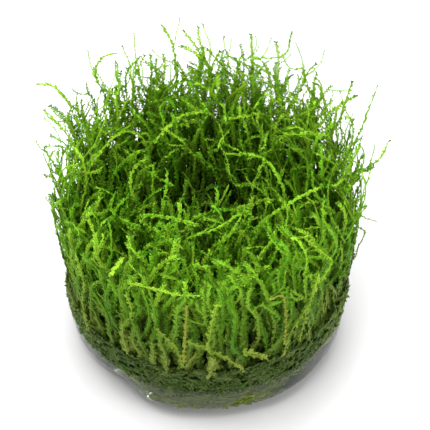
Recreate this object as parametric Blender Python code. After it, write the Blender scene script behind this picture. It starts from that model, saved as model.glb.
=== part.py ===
"""Java moss as it slides out of its culture cup: a pad of clear gel, a mat of old moss set in its
top, and a stand of upright shoots that the cup's wall has pressed into a ring. Metres, +Z up. The
origin is the middle of the gel's flat underside, and -Y is the side that faces a viewer."""

import math
import random
from collections import namedtuple

import bmesh
import bpy
from mathutils import Vector, noise

MM = 0.001
GAP = 0.3 * MM
SEED = 11

# The gel took the shape of the bottom of the cup, and the wall of the cup leans out above it.
GEL_HEIGHT = 15.5 * MM
GEL_FOOT_RADIUS = 27.5 * MM
GEL_RIM_RADIUS = 38.8 * MM
GEL_EDGE_HEIGHT = 8.5 * MM
WALL_LEAN = math.tan(math.radians(4.0))
DISH_RADIUS = 34.6 * MM
DISH_FLOOR_RADIUS = 30.0 * MM
DISH_FLOOR = 7.0 * MM
GEL_SIDES = 32
# Where the gel tore or shrank from the cup: bearing in degrees, depth, and spread in degrees.
EDGE_DENTS = (
    (226.0, 3.0 * MM, 14.0),
    (268.0, 1.0 * MM, 8.0),
    (284.0, 1.4 * MM, 9.0),
    (40.0, 1.3 * MM, 16.0),
    (128.0, 1.8 * MM, 14.0),
)

# The mat of old, tangled moss fills a dish in the top of the gel.
MAT_TOP = GEL_HEIGHT + 0.6 * MM
MAT_RADIUS = DISH_RADIUS - GAP
MAT_SIDES = 16

# A tuft is a crown of shoots grown together, and its shoots part above the crown. The shoots of a
# tuft keep a narrow space. Every other one is tall, and leans over above its neighbours.
SHOOT_SPACE = 0.3 * MM
LEVELS = (20.5 * MM, 28.5 * MM, 36.5 * MM, 44.0 * MM, 51.5 * MM)
TALLER = 8.0 * MM
TIP_LEAN = 2.0 * MM
CELL_JITTER = 0.35 * MM

Ring = namedtuple("Ring", "name count inner outer columns rows crown tips")
RINGS = (
    Ring("wall_tuft", 18, 34.9 * MM, 38.4 * MM, 4, 1, (2.5 * MM, 5.0 * MM), (52.0 * MM, 58.0 * MM)),
    Ring("middle_tuft", 10, 22.6 * MM, 31.8 * MM, 3, 2, (4.0 * MM, 5.0 * MM), (46.0 * MM, 53.0 * MM)),
    Ring("heart_tuft", 5, 6.2 * MM, 19.4 * MM, 2, 2, (4.0 * MM, 5.0 * MM), (39.0 * MM, 46.0 * MM)),
)
CENTRE_TUFT_SIZE = 7.4 * MM

# The stand waves as one, most of all half way up, so that its shoots bend and never cross. Against
# the wall it could only wave along the wall.
WAVE_REACH = 6.5 * MM
WAVE_LENGTH = 24.0 * MM
WAVE_TOP = 68.0 * MM
WAVE_SHIFT = Vector((17.3, 5.1, 9.7))
STILL_RADIUS = 8.0 * MM
CUP_RADIUS = 40.0 * MM

# Long shoots stand in the two lanes between the rings, and reach past the rest.
LANES = {"outer": 33.35 * MM, "inner": 21.0 * MM}
LONG_SHOOT_WIDTH = 1.5 * MM
LONG_SHOOT_TIP = 0.5 * MM
LONG_SHOOT_STEPS = 8
LONG_SHOOT_ROOM = 3.3 * MM
HEADROOM = 2.0 * MM
STAND_TOP = 46.0 * MM
# Each one's lane, and its route above the stand in millimetres, up to its tip.
LONG_SHOOTS = (
    ("outer", (-37.5, 18, 61), (-37, 18.5, 68), (-41, 19, 75), (-45.5, 19.5, 75.5)),
    ("outer", (-36, 11, 60), (-40, 12.5, 67), (-43.5, 14, 71)),
    ("outer", (-38.5, 3, 56), (-43.5, 5.5, 65)),
    ("outer", (-27.5, 27, 61), (-30.5, 28, 70), (-28.5, 28.5, 76), (-24.5, 29, 77.5)),
    ("outer", (-20.5, 31.5, 62), (-17, 33, 72.5)),
    ("outer", (-8.5, 35.5, 63), (-9.5, 36, 74), (-12.5, 36.5, 81)),
    ("outer", (1, 36, 62), (3.5, 36.5, 70.5)),
    ("outer", (12.5, 35.5, 64), (12, 37, 76.5)),
    ("outer", (19, 32, 63), (12, 33.5, 70), (21, 34, 71.5), (23, 34.5, 80)),
    ("outer", (29, 27, 61), (26.5, 28, 68), (29.5, 28.5, 74)),
    ("outer", (36, 18, 62), (39, 18.5, 77.5)),
    ("outer", (40, 10.5, 61), (44.5, 12, 79.5)),
    ("outer", (39, 2, 55), (46, 2.5, 64), (48.5, 5, 68.5)),
    ("inner", (-19, -15, 60), (-12, -19, 66), (-2, -21, 65)),
    ("inner", (-6, -22, 59), (2, -25, 68), (9, -22, 71)),
    ("inner", (14, -18, 60), (22, -15, 67), (30, -9, 66)),
    ("inner", (21, -4, 58), (15, 3, 64), (5, 6, 62)),
    ("inner", (18, 13, 60), (26, 9, 67), (33, 4, 72)),
    ("inner", (2, 22, 60), (-6, 17, 66), (-14, 10, 64)),
    ("inner", (-18, 14, 60), (-24, 9, 67), (-31, -1, 66)),
)

# Base colour and roughness, with how much light passes straight through.
FINISHES = {
    "gel": ((0.62, 0.66, 0.58), 0.12, 0.9),
    "old_moss": ((0.045, 0.09, 0.012), 0.6, 0.0),
    "moss": ((0.11, 0.24, 0.018), 0.5, 0.0),
    "young_moss": ((0.2, 0.36, 0.035), 0.5, 0.0),
}


def clear_scene():
    for obj in list(bpy.data.objects):
        bpy.data.objects.remove(obj)


def finish(name):
    """The named finish as a material, made once."""
    material = bpy.data.materials.get(name)
    if material is None:
        colour, roughness, clearness = FINISHES[name]
        material = bpy.data.materials.new(name)
        material.use_nodes = True
        shader = material.node_tree.nodes["Principled BSDF"]
        shader.inputs["Base Color"].default_value = (*colour, 1.0)
        shader.inputs["Roughness"].default_value = roughness
        shader.inputs["Metallic"].default_value = 0.0
        shader.inputs["Transmission Weight"].default_value = clearness
        shader.inputs["IOR"].default_value = 1.34
    return material


def add_node(name, bm, material_name):
    """Closes off the mesh as one object of the scene, its faces pointing out."""
    bmesh.ops.recalc_face_normals(bm, faces=bm.faces)
    mesh = bpy.data.meshes.new(name)
    bm.to_mesh(mesh)
    bm.free()
    mesh.shade_smooth()
    mesh.materials.append(finish(material_name))
    obj = bpy.data.objects.new(name, mesh)
    bpy.context.scene.collection.objects.link(obj)
    return obj


def on_ring(bearing, radius, height):
    """The point at a bearing in radians, counted from +X towards +Y."""
    return Vector((radius * math.cos(bearing), radius * math.sin(bearing), height))


def waved(point):
    """Where the wave of the stand carries a point."""
    share = (point.z - GEL_HEIGHT) / (WAVE_TOP - GEL_HEIGHT)
    radius = point.xy.length
    if not 0.0 < share < 1.0 or radius < GAP:
        return point.copy()
    reach = WAVE_REACH * math.sin(math.pi * share) ** 2
    place = point / WAVE_LENGTH
    outward = Vector((point.x, point.y, 0.0)) / radius
    along = Vector((-outward.y, outward.x, 0.0))
    from_wall = min(1.0, 2.0 * max(0.0, 1.0 - radius / CUP_RADIUS))
    from_middle = min(1.0, radius / STILL_RADIUS)
    sideways = along * noise.noise(place)
    out = outward * noise.noise(place + WAVE_SHIFT) * from_wall
    return point + reach * from_middle * (sideways + out)


def turned(bm, profile, sides):
    """Spins an outline of (radius, height) points, its two ends on the axis, into a closed skin."""
    points = [bm.verts.new((radius, 0.0, height)) for radius, height in profile]
    edges = [bm.edges.new(pair) for pair in zip(points, points[1:])]
    bmesh.ops.spin(
        bm,
        geom=points + edges,
        axis=(0.0, 0.0, 1.0),
        cent=(0.0, 0.0, 0.0),
        steps=sides,
        angle=math.tau,
        use_merge=True,
    )
    bmesh.ops.remove_doubles(bm, verts=bm.verts, dist=0.01 * MM)


def edge_dent(bearing_degrees):
    """How far the gel's side is drawn in at a bearing."""
    depth = 0.0
    for middle, deepest, spread in EDGE_DENTS:
        away = (bearing_degrees - middle + 180.0) % 360.0 - 180.0
        depth += deepest * math.exp(-((away / spread) ** 2))
    return depth


def build_gel_pad():
    """A flat foot, a broad rounded edge, a short wall, and a dish in the top for the mat."""
    rounding = [
        (
            GEL_FOOT_RADIUS + (GEL_RIM_RADIUS - GEL_FOOT_RADIUS) * math.sin(turn),
            GEL_EDGE_HEIGHT * (1.0 - math.cos(turn)),
        )
        for turn in (math.radians(90.0) * step / 5 for step in range(1, 6))
    ]
    rim = GEL_RIM_RADIUS + (GEL_HEIGHT - GEL_EDGE_HEIGHT) * WALL_LEAN
    profile = [
        (0.0, 0.0),
        (GEL_FOOT_RADIUS, 0.0),
        *rounding,
        (rim, GEL_HEIGHT),
        (DISH_RADIUS, GEL_HEIGHT),
        (DISH_FLOOR_RADIUS, DISH_FLOOR),
        (0.0, DISH_FLOOR),
    ]
    bm = bmesh.new()
    turned(bm, profile, GEL_SIDES)
    for vert in bm.verts:
        radius = vert.co.xy.length
        in_dish = vert.co.z > DISH_FLOOR - GAP and radius < DISH_RADIUS + GAP
        if radius > GEL_FOOT_RADIUS - GAP and not in_dish:
            share = 1.0 - 0.55 * vert.co.z / GEL_HEIGHT
            bearing = math.degrees(math.atan2(vert.co.y, vert.co.x))
            vert.co.xy *= (radius - edge_dent(bearing) * share) / radius
    return add_node("gel_pad", bm, "gel")


def build_moss_mat():
    """A flat-topped cake whose underside is lumpy, clear of the dish all round."""
    depth = MAT_TOP - DISH_FLOOR - GAP
    profile = [
        (0.0, -depth),
        (DISH_FLOOR_RADIUS * 0.5, -depth),
        (DISH_FLOOR_RADIUS - 3.0 * GAP, -depth),
        (MAT_RADIUS - 3.0 * GAP, GEL_HEIGHT - MAT_TOP - GAP),
        (MAT_RADIUS, 0.0),
        (MAT_RADIUS * 0.5, 0.0),
        (0.0, 0.0),
    ]
    bm = bmesh.new()
    turned(bm, profile, MAT_SIDES)
    for vert in bm.verts:
        if vert.co.z < -depth + GAP:
            lump = noise.noise(vert.co * 90.0) + 1.0
            vert.co.z += 0.9 * MM * lump
    bmesh.ops.translate(bm, verts=bm.verts, vec=(0.0, 0.0, MAT_TOP))
    return add_node("moss_mat", bm, "old_moss")


def smooth_route(points, steps):
    """A Catmull-Rom curve through the points, as evenly counted steps."""
    padded = [points[0] * 2.0 - points[1], *points, points[-1] * 2.0 - points[-2]]
    spans = len(points) - 1
    route = []
    for step in range(steps + 1):
        along = spans * step / steps
        span = min(int(along), spans - 1)
        t = along - span
        before, start, end, after = padded[span : span + 4]
        route.append(
            0.5
            * (
                2.0 * start
                + (end - before) * t
                + (2.0 * before - 5.0 * start + 4.0 * end - after) * t**2
                + (3.0 * start - before - 3.0 * end + after) * t**3
            )
        )
    return route


def leant_out(foot, height):
    """Where a shoot that stands on a foot is at a height, leaning as the wall of the cup does."""
    spread = 1.0 + WALL_LEAN * (height - MAT_TOP) / CUP_RADIUS
    return Vector((foot.x * spread, foot.y * spread, height))


def long_shoot_route(lane, waypoints):
    """The part in the lane, with its bends at the same levels as the tufts, and the free part."""
    free = [Vector(point) * MM for point in waypoints]
    bearing = math.atan2(free[0].y, free[0].x)
    heights = [MAT_TOP + GAP + 1.0 * MM, *LEVELS[:4]]
    foot = on_ring(bearing, LANES[lane], MAT_TOP)
    standing = [leant_out(foot, height) for height in heights]
    return standing[:-1] + smooth_route([standing[-1], *free], LONG_SHOOT_STEPS - 4)


def grow_shoot(bm, face, route, widths):
    """Draws one face out along the route, turning it to face the way that the shoot grows."""
    centre = face.calc_center_median()
    start_normal = face.normal.copy()
    if start_normal.z < 0.0:
        start_normal.negate()
    corners = [(vert.co - centre) / widths[0] for vert in face.verts]
    for step in range(1, len(route)):
        ahead = route[min(step + 1, len(route) - 1)]
        turn = start_normal.rotation_difference(ahead - route[step - 1])
        face = bmesh.ops.extrude_discrete_faces(bm, faces=[face])["faces"][0]
        for vert, corner in zip(face.verts, corners):
            vert.co = route[step] + turn @ (corner * widths[step])


def build_long_shoot(name, route):
    """One slender shoot with a square foot on the mat."""
    route = [waved(point) for point in route]
    steps = len(route) - 1
    widths = [
        LONG_SHOOT_WIDTH + (LONG_SHOOT_TIP - LONG_SHOOT_WIDTH) * (step / steps) ** 1.6
        for step in range(steps + 1)
    ]
    bm = bmesh.new()
    grid = bmesh.ops.create_grid(bm, x_segments=1, y_segments=1, size=LONG_SHOOT_WIDTH / 2.0)
    foot = Vector((route[0].x, route[0].y, MAT_TOP + GAP))
    bmesh.ops.translate(bm, verts=grid["verts"], vec=foot)
    sole = bm.faces[:]
    raised = bmesh.ops.extrude_face_region(bm, geom=sole)["geom"]
    top = next(item for item in raised if isinstance(item, bmesh.types.BMFace))
    for vert in top.verts:
        vert.co.z = route[0].z
    bm.normal_update()
    grow_shoot(bm, top, route, widths)
    return add_node(name, bm, "young_moss")


def height_limit(foot, long_routes):
    """The height at which the lowest long shoot passes over a shoot, less some room."""
    limit = 1.0
    for route in long_routes:
        for point in smooth_route(route, 40):
            away = (point - leant_out(foot, point.z)).length
            if point.z > STAND_TOP and away < LONG_SHOOT_ROOM:
                limit = min(limit, point.z - HEADROOM)
    return limit


def grow_tuft_shoot(bm, face, tip_height, lean):
    """Draws a cell of the crown up through the levels to a narrow tip. It keeps its full width for
    most of its height, as leafy shoots do."""
    foot = face.calc_center_median()
    corners = [vert.co - foot for vert in face.verts]
    heights = [level for level in LEVELS if foot.z + 3.0 * MM < level < tip_height - 4.0 * MM]
    for height in [*heights, tip_height]:
        share = (height - foot.z) / (tip_height - foot.z)
        width = 1.0 - 0.86 * share**3
        centre = leant_out(foot, height) + lean * share**6
        face = bmesh.ops.extrude_discrete_faces(bm, faces=[face])["faces"][0]
        for vert, corner in zip(face.verts, corners):
            vert.co = centre + corner * width


def build_crown(bm, columns, rows, width, depth, height, dice):
    """A block of columns by rows cells standing at the middle of the floor, with the top of each
    cell shrunk to the foot of its shoot. Returns those faces."""
    grid = bmesh.ops.create_grid(bm, x_segments=columns, y_segments=rows, size=0.5)
    bmesh.ops.scale(bm, verts=grid["verts"], vec=(width, depth, 1.0))
    for vert in bm.verts:
        if not vert.is_boundary:
            vert.co.x += dice.uniform(-CELL_JITTER, CELL_JITTER)
            vert.co.y += dice.uniform(-CELL_JITTER, CELL_JITTER)
    raised = bmesh.ops.extrude_face_region(bm, geom=bm.faces[:])["geom"]
    lifted = [item for item in raised if isinstance(item, bmesh.types.BMVert)]
    tops = [item for item in raised if isinstance(item, bmesh.types.BMFace)]
    bmesh.ops.translate(bm, verts=lifted, vec=(0.0, 0.0, height))
    bm.normal_update()
    bmesh.ops.inset_individual(bm, faces=tops, thickness=SHOOT_SPACE)
    return tops


def build_tuft(name, crown_size, place, floor, crown, tips, long_routes, dice):
    """A crown, set in its place by a function of its straight coordinates, and its shoots."""
    columns, rows, width, depth = crown_size
    bm = bmesh.new()
    feet = build_crown(bm, columns, rows, width, depth, dice.uniform(*crown), dice)
    for vert in bm.verts:
        vert.co = place(vert.co.x, vert.co.y, floor + vert.co.z)
    bm.normal_update()
    tall = [(column + row) % 2 == 0 for row in range(rows) for column in range(columns)]
    for face, is_tall in zip(feet, tall):
        foot = face.calc_center_median()
        turn = dice.uniform(0.0, math.tau)
        tip_height = dice.uniform(*tips) + (TALLER if is_tall else 0.0)
        limit = height_limit(foot, long_routes)
        lean = TIP_LEAN if is_tall and tip_height < limit else 0.25 * TIP_LEAN
        grow_tuft_shoot(bm, face, min(tip_height, limit), on_ring(turn, lean, 0.0))
    for vert in bm.verts:
        vert.co = waved(vert.co) if vert.co.z > floor + GAP else vert.co
    return add_node(name, bm, "moss")


def build_ring(ring, long_routes, dice):
    """A ring of tufts of uneven widths, side by side."""
    middle = (ring.inner + ring.outer) / 2.0
    floor = (GEL_HEIGHT if ring.inner > DISH_RADIUS else MAT_TOP) + GAP
    edges = [math.tau * (number + dice.uniform(-0.14, 0.14)) / ring.count for number in range(ring.count)]
    for number, (start, end) in enumerate(zip(edges, edges[1:] + [edges[0] + math.tau]), start=1):
        bearing = (start + end) / 2.0
        width = (end - start) * middle - 2.0 * GAP

        def place(along, across, height):
            return on_ring(bearing + along / middle, middle + across, height)

        crown_size = (ring.columns, ring.rows, width, ring.outer - ring.inner)
        name = f"{ring.name}_{number:02d}"
        build_tuft(name, crown_size, place, floor, ring.crown, ring.tips, long_routes, dice)


def build():
    clear_scene()
    build_gel_pad()
    build_moss_mat()
    long_routes = [long_shoot_route(lane, waypoints) for lane, *waypoints in LONG_SHOOTS]
    for number, route in enumerate(long_routes, start=1):
        build_long_shoot(f"long_shoot_{number:02d}", route)
    dice = random.Random(SEED)
    for ring in RINGS:
        build_ring(ring, long_routes, dice)
    heart = RINGS[-1]
    centre_size = (2, 2, CENTRE_TUFT_SIZE, CENTRE_TUFT_SIZE)
    build_tuft(
        "centre_tuft",
        centre_size,
        lambda x, y, z: Vector((x, y, z)),
        MAT_TOP + GAP,
        heart.crown,
        heart.tips,
        long_routes,
        dice,
    )


build()
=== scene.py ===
"""The looks of a clump of java moss on its pad of culture gel: thousands of small leaves on shoots
that grew up the wall of a cup, the old moss inside the gel, and the clear gel itself."""

import math
import random
from collections import namedtuple

import bmesh
import bpy
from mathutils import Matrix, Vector, noise


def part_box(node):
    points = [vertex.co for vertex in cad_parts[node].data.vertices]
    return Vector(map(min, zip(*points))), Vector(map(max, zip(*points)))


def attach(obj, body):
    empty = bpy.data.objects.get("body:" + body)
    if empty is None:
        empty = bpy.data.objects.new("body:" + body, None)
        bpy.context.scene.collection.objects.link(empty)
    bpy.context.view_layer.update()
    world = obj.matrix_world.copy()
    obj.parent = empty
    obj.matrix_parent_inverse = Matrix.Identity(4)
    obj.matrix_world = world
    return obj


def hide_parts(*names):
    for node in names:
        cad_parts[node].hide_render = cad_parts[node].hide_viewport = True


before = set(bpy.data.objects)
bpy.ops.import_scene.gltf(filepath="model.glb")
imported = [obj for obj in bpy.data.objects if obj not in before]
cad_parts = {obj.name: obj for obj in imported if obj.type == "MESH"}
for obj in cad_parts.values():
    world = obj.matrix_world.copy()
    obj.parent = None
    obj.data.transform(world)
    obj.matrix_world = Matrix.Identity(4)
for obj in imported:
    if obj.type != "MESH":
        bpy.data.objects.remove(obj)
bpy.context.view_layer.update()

MM = 0.001
SEED = 7

# The gel pad, as the solids have it.
GEL_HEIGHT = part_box("gel_pad")[1].z
GEL_FOOT_RADIUS = 27.5 * MM
GEL_RIM_RADIUS = 38.8 * MM
GEL_EDGE_HEIGHT = 8.5 * MM
WALL_LEAN = math.tan(math.radians(4.0))
EDGE_DENTS = (
    (226.0, 3.0 * MM, 14.0),
    (268.0, 1.0 * MM, 8.0),
    (284.0, 1.4 * MM, 9.0),
    (40.0, 1.3 * MM, 16.0),
    (128.0, 1.8 * MM, 14.0),
)

# The clear gel lies under the sunk moss, which hangs lower at two bearings of the front.
MOSS_LOW = 14.5 * MM
LOW_SPOTS = ((275.0, 11.0 * MM, 24.0), (296.0, 1.5 * MM, 4.0))
BAND_TOP = 17.0 * MM
BAND_RISE = 8.0 * MM
# The gel ends in a thin lip, which climbs a little way over the moss in places.
FILM = 1.0 * MM

# The cup held the shoots in up to its rim.
CUP_RIM_HEIGHT = 58.0 * MM
TALLEST = 72.0 * MM
CUP_RADIUS = 40.0 * MM

# The slow wave that the long shoots share with their solids.
WAVE_REACH = 6.5 * MM
WAVE_LENGTH = 24.0 * MM
WAVE_TOP = 68.0 * MM
WAVE_SHIFT = Vector((17.3, 5.1, 9.7))
STILL_RADIUS = 8.0 * MM

# The dark well behind the middle of the stand, where the tops are lower.
STAND_TOP = 55.0 * MM
BACK_RISE = 9.0 * MM
WELL_PLACE = Vector((1.0 * MM, 9.0 * MM))
WELL_RADIUS = 12.5 * MM
WELL_DEPTH = 19.0 * MM

# A shoot is grown in steps, and its leaves stand close along it.
STEP = 1.8 * MM
STEM_WIDTH = 0.3
LEAF_TILT = math.radians(35.0)
TIP_TONE = 0.06
# Only the tips that reach above this end in a darker bud.
BUD_HEIGHT = 58.0 * MM
BROWN = 0.03
STRAW = 0.94
WET_ROUGHNESS = 0.35
DRY_ROUGHNESS = 0.6

# The mass of old moss that the shoots stand in.
MAT_RADIUS = 33.0 * MM
MAT_LOW = 11.0 * MM
MAT_TOP = 22.0 * MM
LANES = {"outer": 33.35 * MM, "inner": 21.0 * MM}
LONG_SHOOTS = (
    ("outer", (-37.5, 18, 61), (-37, 18.5, 68), (-41, 19, 75), (-45.5, 19.5, 75.5)),
    ("outer", (-36, 11, 60), (-40, 12.5, 67), (-43.5, 14, 71)),
    ("outer", (-38.5, 3, 56), (-43.5, 5.5, 65)),
    ("outer", (-27.5, 27, 61), (-30.5, 28, 70), (-28.5, 28.5, 76), (-24.5, 29, 77.5)),
    ("outer", (-20.5, 31.5, 62), (-17, 33, 72.5)),
    ("outer", (-8.5, 35.5, 63), (-9.5, 36, 74), (-12.5, 36.5, 81)),
    ("outer", (1, 36, 62), (3.5, 36.5, 70.5)),
    ("outer", (12.5, 35.5, 64), (12, 37, 76.5)),
    ("outer", (19, 32, 63), (12, 33.5, 70), (21, 34, 71.5), (23, 34.5, 80)),
    ("outer", (29, 27, 61), (26.5, 28, 68), (29.5, 28.5, 74)),
    ("outer", (36, 18, 62), (39, 18.5, 77.5)),
    ("outer", (40, 10.5, 61), (44.5, 12, 79.5)),
    ("outer", (39, 2, 55), (46, 2.5, 64), (48.5, 5, 68.5)),
    ("inner", (-19, -15, 60), (-12, -19, 66), (-2, -21, 65)),
    ("inner", (-6, -22, 59), (2, -25, 68), (9, -22, 71)),
    ("inner", (14, -18, 60), (22, -15, 67), (30, -9, 66)),
    ("inner", (21, -4, 58), (15, 3, 64), (5, 6, 62)),
    ("inner", (18, 13, 60), (26, 9, 67), (33, 4, 72)),
    ("inner", (2, 22, 60), (-6, 17, 66), (-14, 10, 64)),
    ("inner", (-18, 14, 60), (-24, 9, 67), (-31, -1, 66)),
)

# Single shoots that stand out on the front of the stand: tone, leaf length and route.
FRONT_SHOOTS = (
    (0.88, 2.5,
     (0.5, -36.5, 24), (1.6, -38.4, 32), (0.6, -38.9, 40), (1.2, -39.3, 50),
     (2.6, -39.4, 60)),
    (STRAW, 1.5, (-5.6, -37.0, 31), (-5.4, -38.6, 40), (-5.0, -38.9, 49), (-4.6, -39.2, 58)),
    (STRAW, 1.4,
     (19.4, -32.5, 32), (19.6, -33.6, 42), (19.2, -34.2, 50), (17.8, -34.0, 56.5),
     (14.0, -33.4, 57.5)),
    (0.88, 2.2, (9.0, -38.0, 35.5), (12.4, -37.4, 33.0), (15.6, -36.2, 28.5)),
    (0.82, 1.6, (-12.6, -37.6, 45), (-9.6, -38.5, 40.5), (-7.4, -38.8, 36), (-6.2, -38.4, 29)),
    (0.80, 1.7, (-5.8, -38.8, 42), (-0.4, -39.2, 38.8), (4.8, -38.8, 33.6), (9.4, -37.6, 26)),
    (0.85, 1.7, (27.6, -29.4, 57), (25.6, -31.0, 46), (21.4, -33.2, 37), (19.6, -33.6, 27)),
    (0.80, 1.7, (26.6, -30.2, 52), (25.2, -31.0, 42), (24.0, -31.4, 30)),
    (0.70, 1.4,
     (19.6, -27.5, 46), (20.4, -24.5, 54), (22.4, -22.0, 59.5), (25.4, -21.4, 60.5),
     (27.4, -23.4, 57), (26.0, -25.6, 53)),
    (0.72, 1.6,
     (2.0, -19.0, 44), (2.6, -18.5, 51), (5.0, -17.0, 55.5), (9.0, -16.4, 56.5),
     (11.4, -18.2, 53.5), (9.0, -21.0, 50)),
    (0.75, 1.8, (-20.5, -33.0, 27), (-21.5, -33.4, 38), (-18.5, -35.0, 48), (-19.5, -35.2, 57)),
    (0.65, 1.3,
     (-18.0, -34.5, 62.5), (-12.0, -36.0, 63.5), (-6.0, -36.5, 62.8), (-1.0, -36.5, 63.5)),
    (0.78, 1.7, (-30.5, -23.0, 24), (-32.0, -23.4, 36), (-31.0, -25.6, 47), (-32.5, -25.0, 58)),
)
# Stray shoots that hang out at the sides.
STRAY_SHOOTS = (
    (0.45, 1.0,
     (39.5, 1.0, 50), (40.4, 0.5, 44), (41.4, 0.0, 39), (43.6, 0.0, 37),
     (42.2, 0.0, 31), (41.4, 0.0, 25.4)),
    (0.60, 0.8, (40.2, 1.0, 45), (43.0, 0.5, 42.5), (46.6, 0.0, 41.2)),
    (0.50, 1.0, (-39.6, 1.0, 44), (-41.0, 0.5, 49), (-42.8, 0.5, 52), (-42.4, 0.5, 48)),
)

# The camera looks down on the clump from in front, from far off.
CAMERA_ELEVATION = math.radians(50.0)
CAMERA_DISTANCE = 0.65
CAMERA_LENS = 199.0
CAMERA_AIM = Vector((2.2 * MM, 0.0, 44.0 * MM))

# A shoot's route and, at each of its points, the length of its leaves and its tone and age, which
# its colour is read from, and the way that its flat side faces. Tone is 0 for brown, 1 for straw,
# and between them deep to pale. Age is 0 in the gel and 1 at a tip.
# Painted shade lowers the tone of shoots deep inside the stand, and painted light raises it on the back of the
# wall.
Shoot = namedtuple("Shoot", "route leaves tones ages facing")


def add_node(tree, kind, inputs=None, **settings):
    """A node of a tree, with its settings, and its inputs set to values or linked from sockets."""
    node = tree.nodes.new(kind)
    for name, value in settings.items():
        setattr(node, name, value)
    for name, value in (inputs or {}).items():
        if isinstance(value, bpy.types.NodeSocket):
            tree.links.new(value, node.inputs[name])
        else:
            node.inputs[name].default_value = value
    return node


def on_ring(bearing, radius, height):
    return Vector((radius * math.cos(bearing), radius * math.sin(bearing), height))


def waved(point):
    """Where the wave of the stand carries a point."""
    share = (point.z - GEL_HEIGHT) / (WAVE_TOP - GEL_HEIGHT)
    radius = point.xy.length
    if not 0.0 < share < 1.0 or radius < 0.1 * MM:
        return point.copy()
    reach = WAVE_REACH * math.sin(math.pi * share) ** 2
    place = point / WAVE_LENGTH
    outward = Vector((point.x, point.y, 0.0)) / radius
    along = Vector((-outward.y, outward.x, 0.0))
    from_wall = min(1.0, 2.0 * max(0.0, 1.0 - radius / CUP_RADIUS))
    from_middle = min(1.0, radius / STILL_RADIUS)
    sideways = along * noise.noise(place)
    out = outward * noise.noise(place + WAVE_SHIFT) * from_wall
    return point + reach * from_middle * (sideways + out)


def edge_dent(bearing_degrees):
    """How far the gel's side is drawn in at a bearing."""
    depth = 0.0
    for middle, deepest, spread in EDGE_DENTS:
        away = (bearing_degrees - middle + 180.0) % 360.0 - 180.0
        depth += deepest * math.exp(-((away / spread) ** 2))
    return depth


def gel_radius(point):
    """How far out the gel reaches at the height and bearing of a point."""
    if point.z > GEL_EDGE_HEIGHT:
        radius = GEL_RIM_RADIUS + (point.z - GEL_EDGE_HEIGHT) * WALL_LEAN
    else:
        drop = min(1.0, 1.0 - max(0.0, point.z) / GEL_EDGE_HEIGHT)
        radius = GEL_FOOT_RADIUS + (GEL_RIM_RADIUS - GEL_FOOT_RADIUS) * math.sqrt(1.0 - drop**2)
    bearing = math.degrees(math.atan2(point.y, point.x))
    return radius - edge_dent(bearing) * (1.0 - 0.55 * point.z / GEL_HEIGHT)


def cup_wall(height):
    """How far out a stem stood that the cup's wall held in at a height."""
    return GEL_RIM_RADIUS + (height - GEL_EDGE_HEIGHT) * WALL_LEAN


def held_by_cup(point):
    """The point, drawn in to where the wall of the cup was. Above the rim it can lean out."""
    limit = cup_wall(point.z)
    radius = point.xy.length
    if radius > limit:
        limit += (0.4 + 0.2 * point.y / radius) * max(0.0, point.z - CUP_RIM_HEIGHT)
        point.xy *= min(1.0, limit / radius)
    return point


def stand_top(place):
    """How high the inside of the stand reaches at a place."""
    away = (Vector(place.xy) - WELL_PLACE).length / WELL_RADIUS
    bumps = 5.0 * MM * noise.noise(Vector((place.x, place.y, 0.0)) * 70.0)
    rise = BACK_RISE * clamp(place.y / GEL_RIM_RADIUS)
    return STAND_TOP + rise - WELL_DEPTH * math.exp(-(away**2)) + bumps


def painted_light_share(point):
    """Painted shade for a shoot's tone: the share of its tone kept, little deep inside the stand, more towards the
    back, all of it outside.
    """
    inside = min(1.0, max(0.0, (38.0 * MM - point.xy.length) / (7.0 * MM)))
    depth = min(1.0, max(0.0, (stand_top(point) + 2.0 * MM - point.z) / (24.0 * MM)))
    return 1.0 - inside * depth * (1.0 - 0.7 * clamp(point.y / GEL_RIM_RADIUS))


def clamp(value):
    return min(1.0, max(0.0, value))


def any_direction(dice):
    return on_ring(dice.uniform(0.0, math.tau), 1.0, dice.uniform(-0.8, 0.8)).normalized()


def grow_route(dice, foot, heading, top, length, wander, lean):
    """A route that climbs from its foot, wanders, and past its top height falls over to one side."""
    shift = Vector((dice.uniform(0.0, 90.0), dice.uniform(0.0, 90.0), dice.uniform(0.0, 90.0)))
    route = [held_by_cup(foot)]
    steps = max(3, round(length / STEP))
    for step in range(steps):
        here = route[-1]
        over = clamp((here.z - top) / (8.0 * MM))
        turn = noise.noise_vector(shift + Vector((0.0, 0.0, 0.26 * step)))
        heading = heading + turn * wander * (0.4 + 1.3 * step / steps) + lean * over
        heading.z += 0.22 * (1.0 - over)
        heading = heading.normalized()
        route.append(held_by_cup(here + heading * STEP))
        if route[-1].z > TALLEST:
            break
    return route


def moss_tone(dice):
    """The tone of one shoot. A few have gone brown or straw."""
    kind = dice.random()
    if kind < 0.002:
        return BROWN
    if kind > 0.998:
        return STRAW
    return 0.16 + 0.6 * dice.betavariate(1.8, 2.4)


def leafed(dice, route, base_leaf, tip_leaf, tone, facing):
    """A shoot on a route, its leaves smaller and its colour fresher towards the tip, and its tone darkened as
    painted shade deep inside the stand.
    """
    last = len(route) - 1
    buried = dice.uniform(-6.0, 4.0) * MM
    leaves = []
    tones = []
    ages = []
    for step, point in enumerate(route):
        share = step / last
        height = clamp((point.z + buried * (1.0 - share) ** 2 - 8.0 * MM) / (66.0 * MM))
        leaves.append(base_leaf + (tip_leaf - base_leaf) * clamp(share * 1.1) ** 0.8)
        ages.append(0.06 + 0.8 * height)
        # Painted shade: deep inside the stand the tone is drawn down towards the deepest green, less so at the
        # back.
        if BROWN < tone < STRAW:
            tones.append(0.16 + (tone - 0.16) * painted_light_share(point))
        else:
            tones.append(tone)
    if route[-1].z > BUD_HEIGHT:
        ages[-1] = 0.98
    return Shoot(route, leaves, tones, ages, facing)


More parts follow.
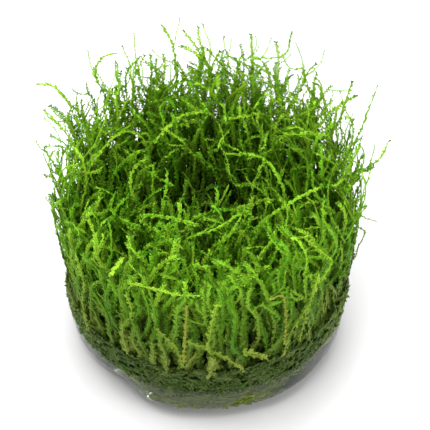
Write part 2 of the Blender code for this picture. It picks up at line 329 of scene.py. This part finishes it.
def side_branches(dice, shoot, count, longest):
    """Side shoots that leave a shoot in its upper half, at the width it has there."""
    branches = []
    for _ in range(count):
        start = dice.randrange(len(shoot.route) // 3, len(shoot.route) - 1)
        here = shoot.route[start]
        ahead = (shoot.route[start + 1] - here).normalized()
        side = ahead.cross(shoot.facing).normalized() * dice.choice((-1, 1))
        heading = (ahead * 0.8 + side + 0.3 * any_direction(dice)).normalized()
        shift = Vector((dice.uniform(0.0, 90.0), dice.uniform(0.0, 90.0), dice.uniform(0.0, 90.0)))
        route = [here.copy()]
        for step in range(dice.randrange(3, longest)):
            turn = noise.noise_vector(shift + Vector((0.0, 0.0, 0.3 * step)))
            heading = (heading + ahead * 0.1 + turn * 0.5 + Vector((0.0, 0.0, 0.1))).normalized()
            route.append(held_by_cup(route[-1] + heading * STEP))
        leaf = shoot.leaves[start] * 0.8
        branches.append(leafed(dice, route, leaf, leaf * 0.75, shoot.tones[-1], shoot.facing))
    return branches


def make_leaf():
    """One pointed leaf, one unit long, folded along its middle. It stands up from its base."""
    bm = bmesh.new()
    base, middle, tip = (
        bm.verts.new(place) for place in ((0.0, 0.05, -0.05), (0.0, 0.16, 0.45), (0.0, 0.02, 0.95))
    )
    corners = bm.loops.layers.uv.new("leaf_corner")
    for side in (-1, 1):
        edge = bm.verts.new((side * 0.3, 0.02, 0.36))
        bm.faces.new((base, edge, middle)[::side])
        bm.faces.new((middle, edge, tip)[::side])
    for face in bm.faces:
        for loop in face.loops:
            loop[corners].uv = (loop.vert.co.x + 0.5, loop.vert.co.z)
    mesh = bpy.data.meshes.new("leaf")
    bm.to_mesh(mesh)
    bm.free()
    return bpy.data.objects.new("leaf", mesh)


def maths(tree, operation, *values):
    """A Math node's result."""
    return add_node(tree, "ShaderNodeMath", dict(enumerate(values)), operation=operation).outputs[0]


def carried(tree, name, kind="FLOAT"):
    """A value that the wires carry from one of their points to the next."""
    node = add_node(tree, "GeometryNodeInputNamedAttribute", {"Name": name}, data_type=kind)
    return node.outputs["Attribute"]


def scattered(tree, low, high, seed):
    """A number that differs from leaf to leaf."""
    limits = {"Min": low, "Max": high, "Seed": seed}
    node = add_node(tree, "FunctionNodeRandomValue", limits, data_type="FLOAT")
    return node.outputs["Value"]


def turned(tree, rotation, **angles):
    """A rotation with a further turn about its own axes."""
    about = add_node(tree, "ShaderNodeCombineXYZ", angles).outputs[0]
    turn = add_node(tree, "FunctionNodeEulerToRotation", {"Euler": about}).outputs[0]
    return add_node(
        tree,
        "FunctionNodeRotateRotation",
        {"Rotation": rotation, "Rotate By": turn},
        rotation_space="LOCAL",
    ).outputs[0]


def make_leafing(leaf):
    """The node tree that sets stems and leaves on wires that carry leaf, tone, age and facing."""
    tree = bpy.data.node_groups.new("leafing", "GeometryNodeTree")
    tree.interface.new_socket("Geometry", in_out="INPUT", socket_type="NodeSocketGeometry")
    tree.interface.new_socket("Spacing", in_out="INPUT", socket_type="NodeSocketFloat")
    tree.interface.new_socket("Spread", in_out="INPUT", socket_type="NodeSocketFloat")
    tree.interface.new_socket("Geometry", in_out="OUTPUT", socket_type="NodeSocketGeometry")
    given = add_node(tree, "NodeGroupInput").outputs
    curves = add_node(tree, "GeometryNodeMeshToCurve", {"Mesh": given["Geometry"]}).outputs["Curve"]
    size = carried(tree, "leaf")
    place = add_node(tree, "GeometryNodeInputIndex").outputs[0]

    ring = add_node(tree, "GeometryNodeCurvePrimitiveCircle", {"Resolution": 3, "Radius": 1.0})
    stems = add_node(
        tree,
        "GeometryNodeCurveToMesh",
        {
            "Curve": curves,
            "Profile Curve": ring.outputs["Curve"],
            "Scale": maths(tree, "MULTIPLY", size, STEM_WIDTH / 2.0),
            "Fill Caps": True,
        },
    )
    grain = [maths(tree, "FRACT", maths(tree, "MULTIPLY", place, share)) for share in (0.381, 0.618)]
    stem_corner = add_node(tree, "ShaderNodeCombineXYZ", {"X": grain[0], "Y": grain[1]})
    stems = add_node(
        tree,
        "GeometryNodeStoreNamedAttribute",
        {"Geometry": stems.outputs["Mesh"], "Name": "leaf_corner", "Value": stem_corner.outputs[0]},
        data_type="FLOAT2",
        domain="CORNER",
    )

    points = add_node(
        tree, "GeometryNodeCurveToPoints", {"Curve": curves, "Length": given["Spacing"]}, mode="LENGTH"
    )
    upright = add_node(
        tree,
        "FunctionNodeAxesToRotation",
        {"Primary Axis": points.outputs["Tangent"], "Secondary Axis": carried(tree, "facing", "FLOAT_VECTOR")},
        primary_axis="Z",
        secondary_axis="Y",
    ).outputs[0]
    side = maths(tree, "MULTIPLY", place, math.pi)
    about_stem = maths(tree, "MULTIPLY_ADD", scattered(tree, -1.0, 1.0, 3), given["Spread"], side)
    outward = scattered(tree, 0.7 * LEAF_TILT, 1.3 * LEAF_TILT, 5)
    rotation = turned(tree, turned(tree, upright, Z=about_stem), Y=outward)
    source = add_node(tree, "GeometryNodeObjectInfo", {"Object": leaf})
    leaves = add_node(
        tree,
        "GeometryNodeInstanceOnPoints",
        {
            "Points": points.outputs["Points"],
            "Instance": source.outputs["Geometry"],
            "Rotation": rotation,
            "Scale": maths(tree, "MULTIPLY", size, scattered(tree, 0.75, 1.2, 8)),
        },
    )
    leaves = add_node(tree, "GeometryNodeRealizeInstances", {"Geometry": leaves.outputs[0]})

    both = add_node(tree, "GeometryNodeJoinGeometry")
    tree.links.new(stems.outputs["Geometry"], both.inputs[0])
    tree.links.new(leaves.outputs["Geometry"], both.inputs[0])
    colour_place = add_node(tree, "ShaderNodeCombineXYZ", {"X": carried(tree, "tone"), "Y": carried(tree, "age")})
    spot = add_node(
        tree,
        "ShaderNodeVectorMath",
        {
            0: carried(tree, "leaf_corner", "FLOAT_VECTOR"),
            1: (TIP_TONE, 0.012, 0.0),
            2: colour_place.outputs[0],
        },
        operation="MULTIPLY_ADD",
    )
    mapped = add_node(
        tree,
        "GeometryNodeStoreNamedAttribute",
        {"Geometry": both.outputs[0], "Name": "OFBake", "Value": spot.outputs[0]},
        data_type="FLOAT2",
        domain="CORNER",
    )
    add_node(tree, "NodeGroupOutput", {"Geometry": mapped.outputs["Geometry"]})
    return tree


def leafy_piece(name, shoots, leafing, material, spacing, spread=1.2):
    """The shoots as one mesh of stems and leaves."""
    wires = bpy.data.meshes.new(name)
    points = [point for shoot in shoots for point in shoot.route]
    edges = []
    start = 0
    for shoot in shoots:
        edges += [(start + step, start + step + 1) for step in range(len(shoot.route) - 1)]
        start += len(shoot.route)
    wires.from_pydata(points, edges, [])
    facts = {
        "leaf": [leaf for shoot in shoots for leaf in shoot.leaves],
        "tone": [tone for shoot in shoots for tone in shoot.tones],
        "age": [age for shoot in shoots for age in shoot.ages],
    }
    for fact, values in facts.items():
        wires.attributes.new(fact, "FLOAT", "POINT").data.foreach_set("value", values)
    ways = [number for shoot in shoots for _ in shoot.route for number in shoot.facing]
    wires.attributes.new("facing", "FLOAT_VECTOR", "POINT").data.foreach_set("vector", ways)
    grower = bpy.data.objects.new(name + "_wires", wires)
    bpy.context.scene.collection.objects.link(grower)
    modifier = grower.modifiers.new("leafing", "NODES")
    modifier.node_group = leafing
    sockets = {item.name: item.identifier for item in leafing.interface.items_tree if item.in_out == "INPUT"}
    modifier[sockets["Spacing"]] = spacing
    modifier[sockets["Spread"]] = spread
    depsgraph = bpy.context.evaluated_depsgraph_get()
    mesh = bpy.data.meshes.new_from_object(
        grower.evaluated_get(depsgraph), preserve_all_data_layers=True, depsgraph=depsgraph
    )
    bpy.data.objects.remove(grower)
    mesh.name = name
    mesh.materials.clear()
    mesh.materials.append(material)
    mesh.shade_flat()
    piece = bpy.data.objects.new(name, mesh)
    bpy.context.scene.collection.objects.link(piece)
    print(name, "shoots", len(shoots), "triangles", sum(len(face.vertices) - 2 for face in mesh.polygons))
    return piece


def wall_shoots(dice, start, end, count):
    """Shoots that stood against the cup's wall, from one bearing to another, in four rows."""
    shoots = []
    for number in range(count):
        bearing = start + (end - start) * (number + dice.random()) / count
        outward = on_ring(bearing, 1.0, 0.0)
        along = Vector((-outward.y, outward.x, 0.0))
        depth = dice.choice((0.3, 0.8, 2.2, 4.2)) * MM
        foot = on_ring(bearing, GEL_RIM_RADIUS - depth, GEL_HEIGHT + dice.uniform(-1.0, 5.0) * MM)
        heading = (Vector((0.0, 0.0, 1.0)) + along * dice.gauss(0.0, 0.28)).normalized()
        top = dice.uniform(45.0, 63.0 + 3.0 * max(0.0, outward.y)) * MM
        length = top - foot.z + dice.uniform(2.0, 13.0) * MM
        lean = outward * dice.uniform(-0.5, 0.2) + along * dice.uniform(-0.4, 0.4)
        route = grow_route(dice, foot, heading, top, length, dice.uniform(0.18, 0.48), lean)
        facing = (outward + 0.3 * any_direction(dice)).normalized()
        base_leaf = dice.uniform(1.5, 2.3) * (1.0 - 0.2 * outward.y) * MM
        tip_leaf = dice.uniform(0.95, 1.25) * (1.05 - 0.1 * outward.y) * MM
        tone = moss_tone(dice)
        # Painted light: shoots round the back of the wall get a paler tone.
        if BROWN < tone < STRAW:
            tone += 0.2 * max(0.0, outward.y)
        shoot = leafed(dice, route, base_leaf, tip_leaf, tone, facing)
        shoots.append(shoot)
        shoots += side_branches(dice, shoot, dice.choice((0, 1, 1, 2)) + (outward.y > 0.3), 8)
    return shoots


def inner_shoots(dice, inner, outer, count, start=0.0, end=math.tau):
    """Shoots of the inside of the stand, whose tops arch over and tangle. The nearer the front,
    the broader they are."""
    shoots = []
    for _ in range(count):
        bearing = dice.uniform(start, end)
        radius = math.sqrt(dice.uniform(inner**2, outer**2))
        foot = on_ring(bearing, radius, MAT_TOP - dice.uniform(0.0, 4.0) * MM)
        top = stand_top(foot) - dice.uniform(0.0, 9.0) * MM
        length = top - foot.z + dice.choice((1.5, 3.0, 5.0, 14.0)) * dice.uniform(0.7, 1.4) * MM
        side = dice.uniform(0.0, math.tau)
        lean = on_ring(side, dice.uniform(0.15, 0.5), dice.uniform(-0.15, 0.15))
        heading = (Vector((0.0, 0.0, 1.0)) + 0.3 * any_direction(dice)).normalized()
        route = grow_route(dice, foot, heading, top, length, dice.uniform(0.2, 0.5), lean)
        breadth = 1.12 - 0.2 * foot.y / GEL_RIM_RADIUS
        base_leaf = dice.uniform(1.3, 1.9) * breadth * MM
        tip_leaf = dice.uniform(0.9, 1.2) * breadth * MM
        shoot = leafed(dice, route, base_leaf, tip_leaf, moss_tone(dice), any_direction(dice))
        shoots.append(shoot)
        shoots += side_branches(dice, shoot, dice.choice((0, 1)), 6)
    return shoots


def smooth_route(points, steps):
    """A Catmull-Rom curve through the points, as evenly counted steps."""
    padded = [points[0] * 2.0 - points[1], *points, points[-1] * 2.0 - points[-2]]
    spans = len(points) - 1
    route = []
    for step in range(steps + 1):
        along = spans * step / steps
        span = min(int(along), spans - 1)
        t = along - span
        before, start, end, after = padded[span : span + 4]
        route.append(
            0.5
            * (
                2.0 * start
                + (end - before) * t
                + (2.0 * before - 5.0 * start + 4.0 * end - after) * t**2
                + (3.0 * start - before - 3.0 * end + after) * t**3
            )
        )
    return route


def long_shoots(dice):
    """The long shoots, on the same routes as their solids."""
    shoots = []
    for lane, *waypoints in LONG_SHOOTS:
        free = [Vector(point) * MM for point in waypoints]
        bearing = math.atan2(free[0].y, free[0].x)
        foot = on_ring(bearing, LANES[lane], GEL_HEIGHT)
        spread = 1.0 + WALL_LEAN * 28.0 * MM / CUP_RADIUS
        knee = Vector((foot.x * spread, foot.y * spread, 44.0 * MM))
        route = [waved(point) for point in smooth_route([foot, knee, *free], 34)]
        tone = dice.uniform(0.3, 0.7)
        shoot = leafed(dice, route, 1.5 * MM, 1.0 * MM, tone, any_direction(dice))
        shoots.append(shoot)
        shoots += side_branches(dice, shoot, dice.choice((0, 1, 2)), 6)
    return shoots


def front_shoots(dice):
    """The single shoots that stand out on the front."""
    shoots = []
    for tone, leaf, *waypoints in FRONT_SHOOTS:
        points = [Vector(point) * MM for point in waypoints]
        reach = sum((end - start).length for start, end in zip(points, points[1:]))
        route = smooth_route(points, round(reach / STEP))
        for point in route:
            if point.xy.length > 35.0 * MM:
                point.xy *= (cup_wall(point.z) + 0.6 * MM) / point.xy.length
        facing = (points[0] * Vector((1.0, 1.0, 0.0))).normalized()
        shoots.append(leafed(dice, route, leaf * MM, 0.75 * leaf * MM, tone, facing))
    for tone, leaf, *waypoints in STRAY_SHOOTS:
        route = smooth_route([Vector(point) * MM for point in waypoints], 10)
        shoots.append(leafed(dice, route, leaf * MM, 0.8 * leaf * MM, tone, any_direction(dice)))
    return shoots


def moss_low(bearing_degrees):
    """The height in the gel down to which moss hangs at a bearing."""
    low = MOSS_LOW
    for middle, drop, spread in LOW_SPOTS:
        away = (bearing_degrees - middle + 180.0) % 360.0 - 180.0
        low -= drop * math.exp(-((away / spread) ** 2))
    return low


def band_top(bearing):
    """How high the band of old moss reaches up the stand at a bearing: higher round the front."""
    ragged = 1.6 * MM * noise.noise(on_ring(bearing, 3.0, 1.0))
    return BAND_TOP + BAND_RISE * clamp(-2.2 * math.sin(bearing)) + ragged


def skin_radius(point):
    """How far out old moss reaches: just under the skin of the gel, and over it to the cup's wall."""
    if point.z < GEL_HEIGHT:
        return gel_radius(point) - 0.5 * MM
    return cup_wall(point.z) - 0.1 * MM


def sunk_strands(dice, count):
    """Old moss held in and just over the gel: short tangled strands with a ragged lower edge."""
    shoots = []
    while len(shoots) < count:
        bearing = dice.uniform(0.0, math.tau)
        height = dice.uniform(3.0, 27.0) * MM
        ragged = 2.0 * MM * noise.noise(on_ring(bearing, 4.5, 0.0))
        low = moss_low(math.degrees(bearing)) + ragged
        top = band_top(bearing)
        if not low < height < top:
            continue
        shift = Vector((dice.uniform(0.0, 90.0), dice.uniform(0.0, 90.0), dice.uniform(0.0, 90.0)))
        here = on_ring(bearing, 0.0, height)
        here.xy = on_ring(bearing, skin_radius(here) - 4.0 * MM * dice.random() ** 2, 0.0).xy
        sunk = height < GEL_HEIGHT - 1.0 * MM
        heading = any_direction(dice) * Vector((1.0, 1.0, 0.5))
        if sunk:
            heading = on_ring(bearing + dice.choice((-0.5, 0.5)) * math.pi, 1.0, dice.uniform(-0.3, 0.3))
        route = [here]
        for step in range(dice.randrange(3, 8)):
            turn = noise.noise_vector(shift + Vector((0.0, 0.0, 0.5 * step)))
            heading = (heading + turn * (0.4 if sunk else 0.9)).normalized()
            point = route[-1] + heading * STEP
            point.z = min(max(point.z, low), top)
            point.xy *= min(1.0, skin_radius(point) / point.xy.length)
            route.append(point)
        leaf = dice.uniform(1.3, 2.2) * MM
        tone = dice.uniform(0.16, 0.8)
        facing = (on_ring(bearing, 1.0, 0.0) + 0.3 * any_direction(dice)).normalized()
        shoot = leafed(dice, route, leaf, leaf * 0.8, tone, facing)
        # Strands over the gel get a dark age: old wet moss with painted shade, darker round the front. Strands in
        # the gel keep the age of the gel.
        in_front = clamp(-2.0 * math.sin(bearing) - 0.6)
        depth = dice.uniform(0.0, 0.04) if sunk else dice.uniform(0.10, 0.15) + 0.12 * (1.0 - in_front)
        shoots.append(shoot._replace(tones=[tone] * len(route), ages=[depth] * len(route)))
    return shoots


def make_mat(material):
    """The mass of old moss that the shoots stand in: a lumpy cushion, its foot in the gel."""
    bm = bmesh.new()
    bmesh.ops.create_icosphere(bm, subdivisions=6, radius=1.0)
    middle = 0.5 * (MAT_TOP + MAT_LOW)
    for vert in bm.verts:
        flat = Vector((vert.co.x * MAT_RADIUS, vert.co.y * MAT_RADIUS, 0.0))
        height = middle + (MAT_TOP - middle) * math.copysign(abs(vert.co.z) ** 0.5, vert.co.z)
        place = Vector((flat.x, flat.y, height))
        lumps = 3.0 * MM * noise.noise(place * 130.0) + 1.2 * MM * noise.noise(place * 420.0)
        vert.co = place + (flat / MAT_RADIUS + Vector((0.0, 0.0, vert.co.z))) * lumps
    mesh = bpy.data.meshes.new("moss_cushion")
    bm.to_mesh(mesh)
    bm.free()
    mesh.materials.append(material)
    mesh.shade_smooth()
    piece = bpy.data.objects.new("moss_cushion", mesh)
    bpy.context.scene.collection.objects.link(piece)
    return piece


def colour_ramp(tree, factor, stops):
    """A ramp through the stops, each a place and a colour."""
    ramp = add_node(tree, "ShaderNodeValToRGB", {"Fac": factor})
    elements = ramp.color_ramp.elements
    while len(elements) < len(stops):
        elements.new(0.5)
    for element, (place, colour) in zip(elements, stops):
        element.position = place
        element.color = (*colour, 1.0)
    return ramp.outputs["Color"]


def mixed(tree, factor, first, second):
    """Two colours mixed by a factor."""
    mix = add_node(tree, "ShaderNodeMix", {"Factor": factor}, data_type="RGBA")
    for name, value in (("A", first), ("B", second)):
        socket = [item for item in mix.inputs if item.name == name and item.type == "RGBA"][0]
        if isinstance(value, bpy.types.NodeSocket):
            tree.links.new(value, socket)
        else:
            socket.default_value = value
    return [item for item in mix.outputs if item.type == "RGBA"][0]


def moss_colour_group():
    """Colour and roughness of moss from its tone and age."""
    group = bpy.data.node_groups.new("moss_colour", "ShaderNodeTree")
    group.interface.new_socket("Tone", in_out="INPUT", socket_type="NodeSocketFloat")
    group.interface.new_socket("Age", in_out="INPUT", socket_type="NodeSocketFloat")
    group.interface.new_socket("Colour", in_out="OUTPUT", socket_type="NodeSocketColor")
    group.interface.new_socket("Roughness", in_out="OUTPUT", socket_type="NodeSocketFloat")
    given = add_node(group, "NodeGroupInput").outputs
    # Both ramps dip dark near ages 0.12 to 0.14, the feet of the shoots just over the gel: old wet moss with
    # painted shade.
    deep = colour_ramp(
        group,
        given["Age"],
        (
            (0.0, (0.070, 0.105, 0.008)),
            (0.12, (0.020, 0.052, 0.004)),
            (0.25, (0.017, 0.090, 0.002)),
            (0.50, (0.026, 0.160, 0.001)),
            (0.86, (0.080, 0.350, 0.004)),
            (0.94, (0.040, 0.150, 0.006)),
        ),
    )
    pale = colour_ramp(
        group,
        given["Age"],
        (
            (0.0, (0.240, 0.310, 0.040)),
            (0.14, (0.070, 0.110, 0.020)),
            (0.30, (0.240, 0.300, 0.045)),
            (0.50, (0.205, 0.330, 0.025)),
            (0.86, (0.420, 0.700, 0.040)),
            (0.94, (0.100, 0.220, 0.014)),
        ),
    )
    live = mixed(group, given["Tone"], deep, pale)
    browned = colour_ramp(group, given["Tone"], ((0.0, (1, 1, 1)), (0.10, (1, 1, 1)), (0.15, (0, 0, 0))))
    strawed = colour_ramp(group, given["Tone"], ((0.0, (0, 0, 0)), (0.92, (0, 0, 0)), (0.94, (1, 1, 1))))
    live = mixed(group, browned, live, (0.13, 0.12, 0.03, 1.0))
    colour = mixed(group, strawed, live, (0.26, 0.31, 0.035, 1.0))
    dryness = add_node(
        group, "ShaderNodeMapRange", {"Value": given["Age"], "To Min": WET_ROUGHNESS, "To Max": DRY_ROUGHNESS}
    )
    add_node(group, "NodeGroupOutput", {"Colour": colour, "Roughness": dryness.outputs["Result"]})
    return group


def moss_material(name, colour_group, coat):
    """Moss leaves: their colour is looked up by where they lie on the tone and age map."""
    material = bpy.data.materials.new(name)
    material.use_nodes = True
    tree = material.node_tree
    shader = tree.nodes["Principled BSDF"]
    spot = add_node(tree, "ShaderNodeUVMap", uv_map="OFBake")
    parts = add_node(tree, "ShaderNodeSeparateXYZ", {"Vector": spot.outputs["UV"]})
    look = add_node(tree, "ShaderNodeGroup", node_tree=colour_group)
    tree.links.new(parts.outputs["X"], look.inputs["Tone"])
    tree.links.new(parts.outputs["Y"], look.inputs["Age"])
    tree.links.new(look.outputs["Colour"], shader.inputs["Base Color"])
    tree.links.new(look.outputs["Roughness"], shader.inputs["Roughness"])
    shader.inputs["Coat Weight"].default_value = coat
    shader.inputs["Coat Roughness"].default_value = 0.15
    shader.inputs["Specular IOR Level"].default_value = 0.06
    shader.inputs["Subsurface Weight"].default_value = 0.3
    shader.inputs["Subsurface Radius"].default_value = (0.4, 1.0, 0.15)
    shader.inputs["Subsurface Scale"].default_value = 0.6 * MM
    return material


def cushion_material(colour_group):
    """The dense old moss under the shoots, dark and uneven."""
    material = bpy.data.materials.new("moss_cushion")
    material.use_nodes = True
    tree = material.node_tree
    shader = tree.nodes["Principled BSDF"]
    place = add_node(tree, "ShaderNodeTexCoord").outputs["Object"]
    patches = add_node(tree, "ShaderNodeTexNoise", {"Vector": place, "Scale": 260.0, "Detail": 3.0})
    fibres = add_node(tree, "ShaderNodeTexNoise", {"Vector": place, "Scale": 1400.0, "Detail": 2.0})
    look = add_node(tree, "ShaderNodeGroup", node_tree=colour_group)
    tone = add_node(
        tree, "ShaderNodeMapRange", {"Value": patches.outputs["Fac"], "To Min": 0.16, "To Max": 0.45}
    )
    tree.links.new(tone.outputs["Result"], look.inputs["Tone"])
    age = add_node(tree, "ShaderNodeMapRange", {"Value": fibres.outputs["Fac"], "To Min": 0.0, "To Max": 0.2})
    tree.links.new(age.outputs["Result"], look.inputs["Age"])
    bump = add_node(
        tree, "ShaderNodeBump", {"Height": fibres.outputs["Fac"], "Strength": 0.8, "Distance": 0.6 * MM}
    )
    tree.links.new(look.outputs["Colour"], shader.inputs["Base Color"])
    tree.links.new(look.outputs["Roughness"], shader.inputs["Roughness"])
    tree.links.new(bump.outputs["Normal"], shader.inputs["Normal"])
    shader.inputs["Specular IOR Level"].default_value = 0.2
    return material


def gel_material():
    """Clear culture gel, faintly grey-green, its skin a little uneven and dull in places."""
    material = bpy.data.materials.new("clear_gel")
    material.use_nodes = True
    tree = material.node_tree
    shader = tree.nodes["Principled BSDF"]
    place = add_node(tree, "ShaderNodeTexCoord").outputs["Object"]
    skin = add_node(tree, "ShaderNodeTexNoise", {"Vector": place, "Scale": 90.0, "Detail": 3.0})
    dull = add_node(tree, "ShaderNodeMapRange", {"Value": skin.outputs["Fac"], "To Min": 0.03, "To Max": 0.15})
    bump = add_node(tree, "ShaderNodeBump", {"Height": skin.outputs["Fac"], "Strength": 0.2, "Distance": 0.6 * MM})
    tree.links.new(dull.outputs["Result"], shader.inputs["Roughness"])
    tree.links.new(bump.outputs["Normal"], shader.inputs["Normal"])
    shader.inputs["Base Color"].default_value = (0.93, 0.96, 0.90, 1.0)
    shader.inputs["IOR"].default_value = 1.34
    shader.inputs["Transmission Weight"].default_value = 1.0
    shader.inputs["Specular IOR Level"].default_value = 0.2
    tint = add_node(tree, "ShaderNodeVolumeAbsorption", {"Color": (0.76, 0.86, 0.68, 1.0), "Density": 20.0})
    tree.links.new(tint.outputs["Volume"], tree.nodes["Material Output"].inputs["Volume"])
    return material


def make_gel(material):
    """The pad of gel: a flat foot, a broad rounded edge and a wall, all a little uneven."""
    bm = bmesh.new()
    profile = [(0.0, 0.0), (GEL_FOOT_RADIUS, 0.0)]
    for step in range(1, 13):
        turn = math.radians(90.0) * step / 12
        profile.append(
            (
                GEL_FOOT_RADIUS + (GEL_RIM_RADIUS - GEL_FOOT_RADIUS) * math.sin(turn),
                GEL_EDGE_HEIGHT * (1.0 - math.cos(turn)),
            )
        )
    lip = GEL_HEIGHT + FILM
    profile += [
        (cup_wall(lip - 3.0 * FILM) + 0.3 * FILM, lip - 3.0 * FILM),
        (cup_wall(lip - FILM), lip - FILM),
        (cup_wall(lip) - 0.3 * FILM, lip),
        (cup_wall(lip) - 0.5 * FILM, lip - 0.1 * FILM),
        (cup_wall(GEL_HEIGHT) - 0.7 * FILM, GEL_HEIGHT - 1.5 * FILM),
        (cup_wall(GEL_HEIGHT) - 8.0 * FILM, GEL_HEIGHT - 2.0 * FILM),
        (0.0, GEL_HEIGHT - 2.0 * FILM),
    ]
    points = [bm.verts.new((radius, 0.0, height)) for radius, height in profile]
    edges = [bm.edges.new(pair) for pair in zip(points, points[1:])]
    bmesh.ops.spin(
        bm,
        geom=points + edges,
        axis=(0.0, 0.0, 1.0),
        cent=(0.0, 0.0, 0.0),
        steps=128,
        angle=math.tau,
        use_merge=True,
    )
    bmesh.ops.remove_doubles(bm, verts=bm.verts, dist=0.01 * MM)
    for vert in bm.verts:
        radius = vert.co.xy.length
        if radius > GEL_FOOT_RADIUS + 0.1 * MM:
            bearing = math.atan2(vert.co.y, vert.co.x)
            dent = edge_dent(math.degrees(bearing)) * max(0.0, 1.0 - 0.55 * vert.co.z / GEL_HEIGHT)
            ripple = 0.35 * MM * noise.noise(vert.co * 110.0)
            vert.co.xy *= (radius - dent + ripple) / radius
            if vert.co.z > GEL_HEIGHT - 0.5 * FILM:
                ragged = 4.0 * MM * noise.noise(on_ring(bearing, 6.0, 4.0))
                climb = max(0.0, GEL_HEIGHT + ragged - vert.co.z)
                vert.co.xy *= 1.0 + climb * WALL_LEAN / radius
                vert.co.z += climb
    bmesh.ops.recalc_face_normals(bm, faces=bm.faces)
    mesh = bpy.data.meshes.new("clear_gel_pad")
    bm.to_mesh(mesh)
    bm.free()
    mesh.materials.append(material)
    mesh.shade_smooth()
    piece = bpy.data.objects.new("clear_gel_pad", mesh)
    bpy.context.scene.collection.objects.link(piece)
    return piece


def make_stage():
    """A pale floor and soft light from above and both sides."""
    bm = bmesh.new()
    bmesh.ops.create_grid(bm, x_segments=1, y_segments=1, size=3.0)
    mesh = bpy.data.meshes.new("floor")
    bm.to_mesh(mesh)
    bm.free()
    paper = bpy.data.materials.new("pale_floor")
    paper.use_nodes = True
    shader = paper.node_tree.nodes["Principled BSDF"]
    shader.inputs["Base Color"].default_value = (0.7, 0.7, 0.7, 1.0)
    shader.inputs["Roughness"].default_value = 0.9
    mesh.materials.append(paper)
    floor = bpy.data.objects.new("floor", mesh)
    floor.location.z = -0.05 * MM
    bpy.context.scene.collection.objects.link(floor)
    world = bpy.data.worlds.new("studio")
    world.use_nodes = True
    world.node_tree.nodes["Background"].inputs["Color"].default_value = (1.0, 1.0, 1.0, 1.0)
    world.node_tree.nodes["Background"].inputs["Strength"].default_value = 0.68
    bpy.context.scene.world = world
    for name, place, size, power in (
        ("key", (-0.15, -0.05, 1.1), 0.8, 17.0),
        ("fill", (0.7, -0.5, 0.5), 0.6, 3.0),
        ("back", (0.1, 0.9, 0.7), 0.8, 7.0),
    ):
        light = bpy.data.lights.new(name, "AREA")
        light.energy = power
        light.size = size
        lamp = bpy.data.objects.new(name, light)
        lamp.location = place
        lamp.rotation_euler = (Vector((0.0, 0.0, 0.04)) - lamp.location).to_track_quat("-Z", "Y").to_euler()
        bpy.context.scene.collection.objects.link(lamp)


def make_camera():
    camera = bpy.data.objects.new("camera", bpy.data.cameras.new("camera"))
    camera.data.lens = CAMERA_LENS
    back = Vector((0.0, -math.cos(CAMERA_ELEVATION), math.sin(CAMERA_ELEVATION)))
    camera.location = CAMERA_AIM + back * CAMERA_DISTANCE
    camera.rotation_euler = (-back).to_track_quat("-Z", "Y").to_euler()
    bpy.context.scene.collection.objects.link(camera)
    bpy.context.scene.camera = camera
    bpy.context.scene.view_settings.view_transform = "Standard"


def numbered(name, numbers):
    return [f"{name}_{number:02d}" for number in numbers]


def build():
    noise.seed_set(SEED)
    make_camera()
    make_stage()
    leaf = make_leaf()
    leafing = make_leafing(leaf)
    colour_group = moss_colour_group()
    moss = moss_material("moss_leaves", colour_group, 0.03)
    young = moss_material("young_moss_leaves", colour_group, 0.03)
    old = moss_material("old_moss_leaves", colour_group, 0.15)

    gel = make_gel(gel_material())
    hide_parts("gel_pad")
    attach(gel, "root")

    mat = make_mat(cushion_material(colour_group))
    dice = random.Random(SEED)
    sunk = leafy_piece("sunk_moss", sunk_strands(dice, 1200), leafing, old, 0.48 * MM, 0.7)
    for piece in (mat, sunk):
        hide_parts("moss_mat")
        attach(piece, "root")

    for sector, count in enumerate((98, 106, 104, 92, 80, 88)):
        start = math.tau * sector / 6
        shoots = wall_shoots(dice, start, start + math.tau / 6, count)
        piece = leafy_piece(f"wall_shoots_{sector + 1}", shoots, leafing, moss, 0.42 * MM, 0.6)
        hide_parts(*numbered("wall_tuft", range(3 * sector + 1, 3 * sector + 4)))
        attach(piece, "root")
    for half, count in enumerate((260, 215)):
        shoots = inner_shoots(dice, 20.0 * MM, 34.0 * MM, count, math.pi * half, math.pi * (half + 1))
        piece = leafy_piece(f"middle_shoots_{half + 1}", shoots, leafing, moss, 0.38 * MM)
        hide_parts(*numbered("middle_tuft", range(5 * half + 1, 5 * half + 6)))
        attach(piece, "root")
    shoots = inner_shoots(dice, 0.0, 21.0 * MM, 200)
    piece = leafy_piece("heart_shoots", shoots, leafing, moss, 0.38 * MM)
    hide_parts("centre_tuft", *numbered("heart_tuft", range(1, 6)))
    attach(piece, "root")

    piece = leafy_piece("front_shoots", front_shoots(dice), leafing, moss, 0.4 * MM)
    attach(piece, "root")
    piece = leafy_piece("long_shoots", long_shoots(dice), leafing, young, 0.3 * MM)
    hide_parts(*numbered("long_shoot", range(1, 21)))
    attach(piece, "root")
    bpy.data.objects.remove(leaf)
    bpy.data.node_groups.remove(leafing)


build()
